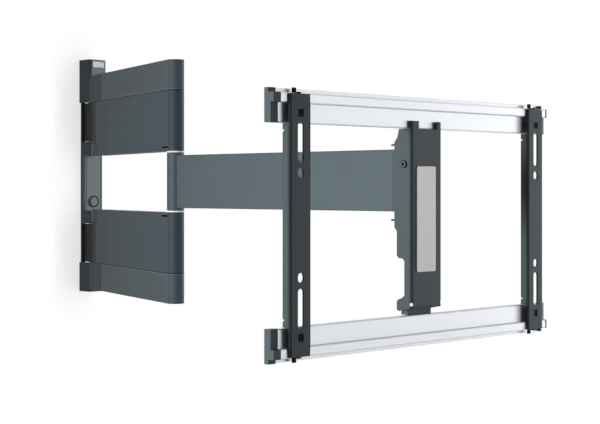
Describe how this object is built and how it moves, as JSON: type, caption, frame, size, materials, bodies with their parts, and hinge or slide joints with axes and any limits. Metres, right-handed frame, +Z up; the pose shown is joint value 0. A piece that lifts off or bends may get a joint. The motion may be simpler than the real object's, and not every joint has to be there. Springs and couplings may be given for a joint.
{
  "type": "swivel tv wall mount",
  "caption": "Folding wall bracket with two swivel arms, a tilting head and a slotted screen frame on aluminium rails.",
  "frame": {"origin": "on the wall plate's back face, behind the wall hinge axis, at mid height of the arms", "axes": "+Z up, -Y out from the wall towards the screen, +X to the right seen from the front"},
  "size_m": [0.4619, 0.77, 0.373],
  "materials": {
    "steel": "satin powder coat, dark grey",
    "pin_steel": "black satin",
    "cover_plastic": "fine textured",
    "black_plastic": "matt",
    "nylon": "natural",
    "aluminium": "satin anodised",
    "brushed": "brushed",
    "label": "plain"
  },
  "bodies": {
    "wall_unit": {"wall_plate": "steel", "top_cap": "cover_plastic", "bottom_cap": "cover_plastic", "upper_ear": "steel", "lower_ear": "steel", "upper_inner_bracket": "steel", "lower_inner_bracket": "steel", "upper_wall_pin": "pin_steel", "lower_wall_pin": "pin_steel", "wall_washers": "nylon", "channel_button": "pin_steel", "blank_label": "label"},
    "inner_arm": {"upper_wall_knuckle": "pin_steel", "lower_wall_knuckle": "pin_steel", "upper_arm_plate": "steel", "lower_arm_plate": "steel", "upper_arm_cover": "cover_plastic", "lower_arm_cover": "cover_plastic", "elbow_pin": "pin_steel", "elbow_washers": "nylon"},
    "outer_arm": {"outer_arm_bar": "steel", "elbow_column": "steel", "head_tube": "steel"},
    "swivel_head": {"swivel_bracket": "steel", "head_pin": "pin_steel", "head_washers": "nylon"},
    "tilt_head": {"head_channel": "steel", "inlay_plate": "brushed", "tilt_screw_left": "pin_steel", "tilt_screw_right": "pin_steel", "catch_guide": "black_plastic", "upper_rail": "aluminium", "lower_rail": "aluminium", "upper_rail_cap_left": "black_plastic", "lower_rail_cap_left": "black_plastic", "upper_rail_cap_right": "black_plastic", "lower_rail_cap_right": "black_plastic"},
    "catch": {"rail_catch": "black_plastic"},
    "left_slider": {"left_upright": "steel", "left_clamp_blocks": "pin_steel", "left_rail_clips": "black_plastic"},
    "right_slider": {"right_upright": "steel", "right_clamp_blocks": "pin_steel", "right_rail_clips": "black_plastic"}
  },
  "joints": [
    {"name": "wall_swivel", "type": "hinge", "parent": "wall_unit", "child": "inner_arm", "pos_m": [0, -0.014, 0], "axis": [0, 0, -1], "range_deg": [-106, 72]},
    {"name": "elbow_swivel", "type": "hinge", "parent": "inner_arm", "child": "outer_arm", "pos_m": [-0.09906, -0.33402, 0], "axis": [0, 0, 1], "range_deg": [-187, 150]},
    {"name": "head_swivel", "type": "hinge", "parent": "outer_arm", "child": "swivel_head", "pos_m": [-0.09906, -0.72902, 0], "axis": [0, 0, -1], "range_deg": [-82, 82]},
    {"name": "head_tilt", "type": "hinge", "parent": "swivel_head", "child": "tilt_head", "pos_m": [-0.09906, -0.75602, 0.0177], "axis": [1, 0, 0], "range_deg": [0, 11]},
    {"name": "catch_slide", "type": "slide", "parent": "tilt_head", "child": "catch", "axis": [0, 0, 1], "range_m": [0, 0.005], "stiffness_N_per_m": 300, "springref_m": -0.004},
    {"name": "left_upright_slide", "type": "slide", "parent": "tilt_head", "child": "left_slider", "axis": [1, 0, 0], "range_m": [0, 0.1]},
    {"name": "right_upright_slide", "type": "slide", "parent": "tilt_head", "child": "right_slider", "axis": [-1, 0, 0], "range_m": [0, 0.1]}
  ]
}
